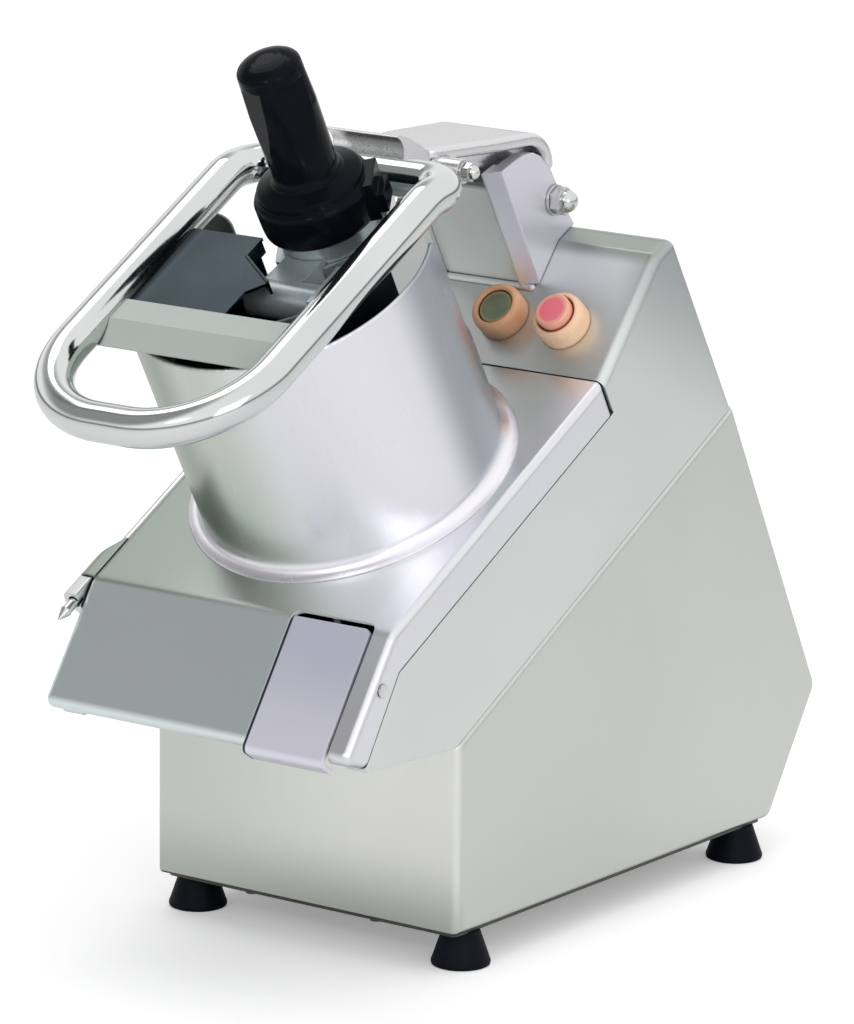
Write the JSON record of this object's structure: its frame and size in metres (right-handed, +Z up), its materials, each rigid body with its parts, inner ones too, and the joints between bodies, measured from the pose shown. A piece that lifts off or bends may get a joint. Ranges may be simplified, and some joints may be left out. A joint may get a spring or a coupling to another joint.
{
  "type": "commercial food processor",
  "caption": "Commercial vegetable cutter with a slanted disc chamber, round hopper, lift-up loop handle and presser, hand pestle, front latch and two push buttons.",
  "frame": {"origin": "centre of the bounding box's footprint, on the floor under the feet", "axes": "+Z up, front (discharge side and loop handle) towards -Y, +X to the right seen from the front"},
  "size_m": [0.2574, 0.6134, 0.5843],
  "materials": {
    "satin_steel": "satin",
    "cast_alloy": "satin",
    "polished": "polished",
    "black_gloss": "gloss",
    "black_matt": "matt",
    "green_cap": "satin",
    "red_cap": "satin",
    "tan_ring": "satin",
    "cream_ring": "satin",
    "black_rubber": "matt",
    "iron": "painted",
    "dark_sheet": "satin"
  },
  "bodies": {
    "stand": {"base_housing": "satin_steel", "base_plate": "satin_steel", "foot_studs": "satin_steel", "base_plate_screws": "satin_steel", "head_casting": "cast_alloy", "latch_bar": "polished", "cover": "cast_alloy", "hopper": "satin_steel", "hinge_lug_front": "cast_alloy", "hinge_lug_rear": "cast_alloy", "hinge_pin": "polished", "latch_pin": "polished", "neck_bracket": "cast_alloy", "arm_pivot_bolt": "polished", "arm_pivot_washers": "polished", "arm_pivot_cap_nuts": "polished", "start_bezel": "tan_ring", "stop_bezel": "cream_ring", "switch_blocks": "black_matt", "cable_gland": "black_matt", "bearing_housing": "cast_alloy", "bearing_housing_screws": "satin_steel", "upper_bearing": "polished", "lower_bearing": "polished", "motor": "iron", "motor_plate": "satin_steel", "motor_pillars": "satin_steel", "motor_bolts": "satin_steel", "drive_belt": "black_rubber", "foot_front_left": "black_rubber", "foot_front_right": "black_rubber", "foot_rear_left": "black_rubber", "foot_rear_right": "black_rubber"},
    "arm": {"arm_casting": "cast_alloy", "arm_side_bolt": "polished", "small_cap_nuts": "polished", "small_washers": "polished", "loop_handle": "polished", "cross_plate": "satin_steel", "presser_panel": "dark_sheet", "presser_box": "satin_steel", "presser_plate": "satin_steel", "feed_tube": "satin_steel", "feed_collar": "polished", "boss_bracket": "satin_steel", "boss_bolt": "polished", "presser_stay": "satin_steel", "stay_bolt": "polished"},
    "pestle": {"pestle": "black_gloss"},
    "latch": {"latch_lever": "cast_alloy"},
    "start": {"start_button": "green_cap"},
    "stop": {"stop_button": "red_cap"},
    "disc_drive": {"drive_shaft": "polished", "ejector_disc": "cast_alloy", "cutting_disc": "satin_steel", "disc_blades": "satin_steel", "disc_nut": "polished", "disc_pulley": "cast_alloy"},
    "rotor": {"motor_shaft": "polished", "motor_pulley": "cast_alloy"}
  },
  "joints": [
    {"name": "arm_lift", "type": "hinge", "parent": "stand", "child": "arm", "pos_m": [0.00375, 0.10427, 0.45776], "axis": [-1, 0, 0], "range_deg": [0, 90]},
    {"name": "pestle_slide", "type": "slide", "parent": "arm", "child": "pestle", "axis": [0, -0.4848, 0.8746], "range_m": [0, 0.185]},
    {"name": "latch_swing", "type": "hinge", "parent": "stand", "child": "latch", "pos_m": [0.00375, -0.18191, 0.20109], "axis": [-1, 0, 0], "range_deg": [0, 50]},
    {"name": "start_press", "type": "slide", "parent": "stand", "child": "start", "axis": [0, 0.7782, -0.628], "range_m": [0, 0.003], "stiffness_N_per_m": 900, "springref_m": -0.001},
    {"name": "stop_press", "type": "slide", "parent": "stand", "child": "stop", "axis": [0, 0.7782, -0.628], "range_m": [0, 0.003], "stiffness_N_per_m": 900, "springref_m": -0.001},
    {"name": "disc_spin", "type": "hinge", "parent": "stand", "child": "disc_drive", "pos_m": [0.00375, -0.03529, 0.26607], "axis": [0, -0.4848, 0.8746], "continuous": true},
    {"name": "rotor_spin", "type": "hinge", "parent": "stand", "child": "rotor", "pos_m": [0.00375, 0.14748, 0.24161], "axis": [0, -0.4848, 0.8746], "continuous": true}
  ],
  "couplings": [
    {"joint": "rotor_spin", "follows": "disc_spin", "ratio": 3.5455}
  ]
}
